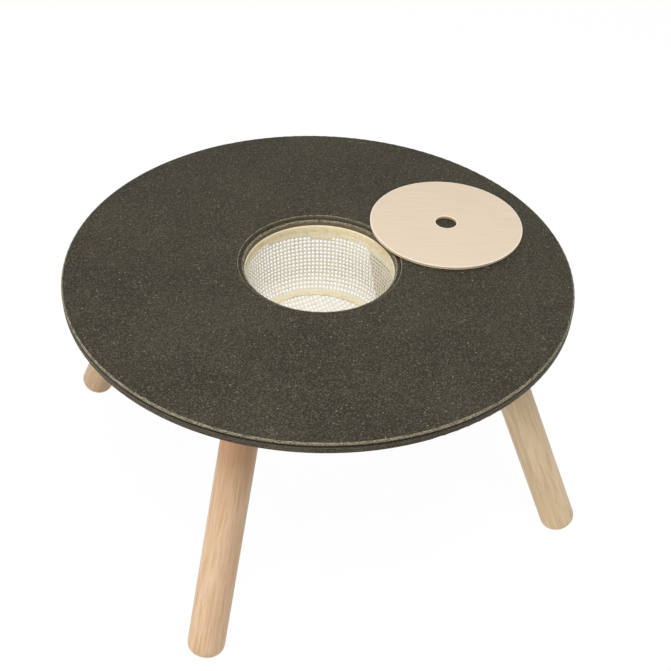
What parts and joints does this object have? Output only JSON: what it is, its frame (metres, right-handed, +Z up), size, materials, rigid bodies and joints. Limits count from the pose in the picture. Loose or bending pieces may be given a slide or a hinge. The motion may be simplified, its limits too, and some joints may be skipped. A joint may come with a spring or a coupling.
{
  "type": "kids table with storage",
  "caption": "Low round children's table on splayed round legs, with an opening in the top, a hanging net storage bag and a loose disc lid with a finger hole.",
  "frame": {"origin": "on the floor, straight under the centre of the round tabletop", "axes": "+Z up, away from the floor; +X towards the lid, which lies on the tabletop beside the opening; the legs stand on the diagonals"},
  "size_m": [0.7999, 0.8, 0.441],
  "materials": {
    "dark_board": "matt sealed wood-fibre board, dark olive grey with fine pale flecks",
    "lid_plywood": "matt clear lacquer on pale plywood",
    "net_cord": "soft knitted cotton net",
    "hem_canvas": "doubled canvas, stitched",
    "ring_plywood": "sanded plywood",
    "leg_wood": "satin clear lacquer on pale hardwood",
    "block_wood": "sanded hardwood",
    "zinc_steel": "zinc plated",
    "insert_brass": "plain"
  },
  "bodies": {
    "table": {"top_sheet": "dark_board", "base_board": "dark_board", "net_bag": "net_cord", "bag_hem": "hem_canvas", "bag_ring": "ring_plywood", "ring_screws": "zinc_steel", "leg_front_left": "leg_wood", "leg_front_right": "leg_wood", "leg_back_right": "leg_wood", "leg_back_left": "leg_wood", "leg_block_front_left": "block_wood", "leg_block_front_right": "block_wood", "leg_block_back_right": "block_wood", "leg_block_back_left": "block_wood", "leg_bolt_front_left": "zinc_steel", "leg_bolt_front_right": "zinc_steel", "leg_bolt_back_right": "zinc_steel", "leg_bolt_back_left": "zinc_steel", "leg_insert_front_left": "insert_brass", "leg_insert_front_right": "insert_brass", "leg_insert_back_right": "insert_brass", "leg_insert_back_left": "insert_brass", "block_screws": "zinc_steel"},
    "lid": {"lid": "lid_plywood"}
  },
  "joints": [
    {"name": "lid_lift", "type": "slide", "parent": "table", "child": "lid", "axis": [0, 0, 1], "range_m": [0, 0.15]}
  ]
}
